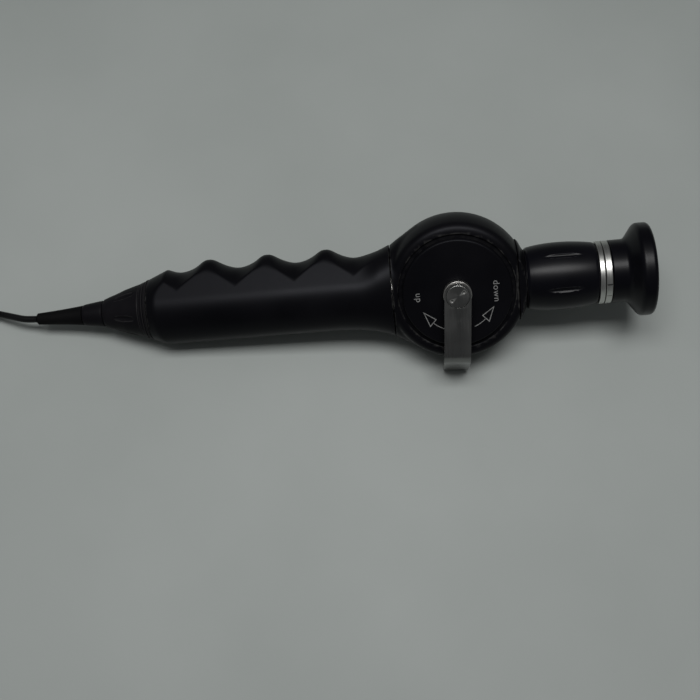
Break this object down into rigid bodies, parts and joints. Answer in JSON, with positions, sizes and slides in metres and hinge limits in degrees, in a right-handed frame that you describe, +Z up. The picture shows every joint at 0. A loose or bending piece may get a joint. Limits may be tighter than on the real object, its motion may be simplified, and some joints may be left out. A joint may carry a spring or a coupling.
{
  "type": "flexible endoscope",
  "caption": "Black fibre endoscope lying on a table: scalloped handle, ball-shaped head with bent thumb lever, focusing eyepiece and slim bending tube.",
  "frame": {"origin": "bottom centre of the instrument as it lies on a table, without its insertion tube", "axes": "+X along the instrument towards the eyepiece, +Z up from the table, -Y towards the viewer who looks at the thumb lever"},
  "size_m": [0.3293, 0.0716, 0.0442],
  "materials": {
    "satin_black": "satin black",
    "gloss_black": "polished black anodised",
    "black_rubber": "matt",
    "steel": "fine turned",
    "satin_silver": "satin",
    "brass": "turned",
    "glass": "coated",
    "fibre": "sheathed fibre bundle"
  },
  "bodies": {
    "root": {"head_shell": "satin_black", "front_cover": "satin_black", "back_cover": "satin_black", "front_seal": "black_rubber", "back_seal": "black_rubber", "cover_screw_1": "steel", "cover_screw_2": "steel", "cover_screw_3": "steel", "pivot_bush": "brass", "light_post": "steel", "light_post_window": "glass", "handle_grip": "satin_black", "core_tube": "steel", "nose_cone": "satin_black", "boot_nut": "satin_black", "strain_relief": "black_rubber", "tube_root": "black_rubber", "sheath_stop": "brass", "wire_guide_block": "brass", "wire_sheath_up": "steel", "wire_sheath_down": "steel", "image_guide": "fibre", "light_guide": "fibre", "ocular_collar": "satin_black", "ocular_tube": "gloss_black", "index_ring": "satin_silver", "eyepiece_cup": "gloss_black", "eyepiece_window": "glass", "insertion_tube": "black_rubber", "tube_coil": "black_rubber", "insertion_tube_end": "black_rubber", "distal_collar": "steel"},
    "lever": {"thumb_lever": "satin_silver", "lever_hub": "steel", "lever_cap": "satin_silver", "pivot_shaft": "steel", "shaft_clip": "steel", "wire_drum": "brass"},
    "focus": {"focus_ring": "gloss_black", "scale_ring": "satin_silver"},
    "lens_carrier": {"lens_cell": "brass", "focus_pin": "steel", "ocular_lens": "glass"},
    "wire_up": {"pull_wire_up": "steel"},
    "wire_down": {"pull_wire_down": "steel"},
    "link_1": {"bending_link_1": "steel"},
    "link_2": {"bending_link_2": "steel"},
    "link_3": {"bending_link_3": "steel"},
    "link_4": {"bending_link_4": "steel"},
    "link_5": {"bending_link_5": "steel"},
    "link_6": {"bending_link_6": "steel"},
    "link_7": {"bending_link_7": "steel"},
    "tip": {"distal_tip": "steel", "tip_lens": "glass"}
  },
  "joints": [
    {"name": "lever_turn", "type": "hinge", "parent": "root", "child": "lever", "pos_m": [0.04126, 0.00197, 0.02236], "axis": [-0.0723, -0.6225, 0.7793], "range_deg": [-40, 40]},
    {"name": "focus_turn", "type": "hinge", "parent": "root", "child": "focus", "pos_m": [0.04126, 0.00197, 0.02236], "axis": [0.9957, 0, 0.0924], "range_deg": [-60, 60]},
    {"name": "lens_shift", "type": "slide", "parent": "root", "child": "lens_carrier", "axis": [0.9957, 0, 0.0924], "range_m": [-0.002, 0.002]},
    {"name": "wire_up_pull", "type": "slide", "parent": "root", "child": "wire_up", "axis": [0.9957, 0, 0.0924], "range_m": [-0.0026, 0.0026]},
    {"name": "wire_down_pull", "type": "slide", "parent": "root", "child": "wire_down", "axis": [0.9957, 0, 0.0924], "range_m": [-0.0026, 0.0026]},
    {"name": "bend_1", "type": "hinge", "parent": "root", "child": "link_1", "pos_m": [-0.1883, 0.01, 0.00135], "axis": [0, 0, 1], "range_deg": [-15, 15]},
    {"name": "bend_2", "type": "hinge", "parent": "link_1", "child": "link_2", "pos_m": [-0.1918, 0.01, 0.00135], "axis": [0, 0, 1], "range_deg": [-15, 15]},
    {"name": "bend_3", "type": "hinge", "parent": "link_2", "child": "link_3", "pos_m": [-0.1953, 0.01, 0.00135], "axis": [0, 0, 1], "range_deg": [-15, 15]},
    {"name": "bend_4", "type": "hinge", "parent": "link_3", "child": "link_4", "pos_m": [-0.1988, 0.01, 0.00135], "axis": [0, 0, 1], "range_deg": [-15, 15]},
    {"name": "bend_5", "type": "hinge", "parent": "link_4", "child": "link_5", "pos_m": [-0.2023, 0.01, 0.00135], "axis": [0, 0, 1], "range_deg": [-15, 15]},
    {"name": "bend_6", "type": "hinge", "parent": "link_5", "child": "link_6", "pos_m": [-0.2058, 0.01, 0.00135], "axis": [0, 0, 1], "range_deg": [-15, 15]},
    {"name": "bend_7", "type": "hinge", "parent": "link_6", "child": "link_7", "pos_m": [-0.2093, 0.01, 0.00135], "axis": [0, 0, 1], "range_deg": [-15, 15]},
    {"name": "bend_8", "type": "hinge", "parent": "link_7", "child": "tip", "pos_m": [-0.2128, 0.01, 0.00135], "axis": [0, 0, 1], "range_deg": [-15, 15]}
  ],
  "couplings": [
    {"joint": "lens_shift", "follows": "focus_turn", "m_per_rad": 0.0019},
    {"joint": "wire_up_pull", "follows": "lever_turn", "m_per_rad": -0.0036},
    {"joint": "wire_down_pull", "follows": "lever_turn", "m_per_rad": 0.0036},
    {"joint": "bend_1", "follows": "lever_turn", "ratio": 0.375},
    {"joint": "bend_2", "follows": "lever_turn", "ratio": 0.375},
    {"joint": "bend_3", "follows": "lever_turn", "ratio": 0.375},
    {"joint": "bend_4", "follows": "lever_turn", "ratio": 0.375},
    {"joint": "bend_5", "follows": "lever_turn", "ratio": 0.375},
    {"joint": "bend_6", "follows": "lever_turn", "ratio": 0.375},
    {"joint": "bend_7", "follows": "lever_turn", "ratio": 0.375},
    {"joint": "bend_8", "follows": "lever_turn", "ratio": 0.375}
  ]
}
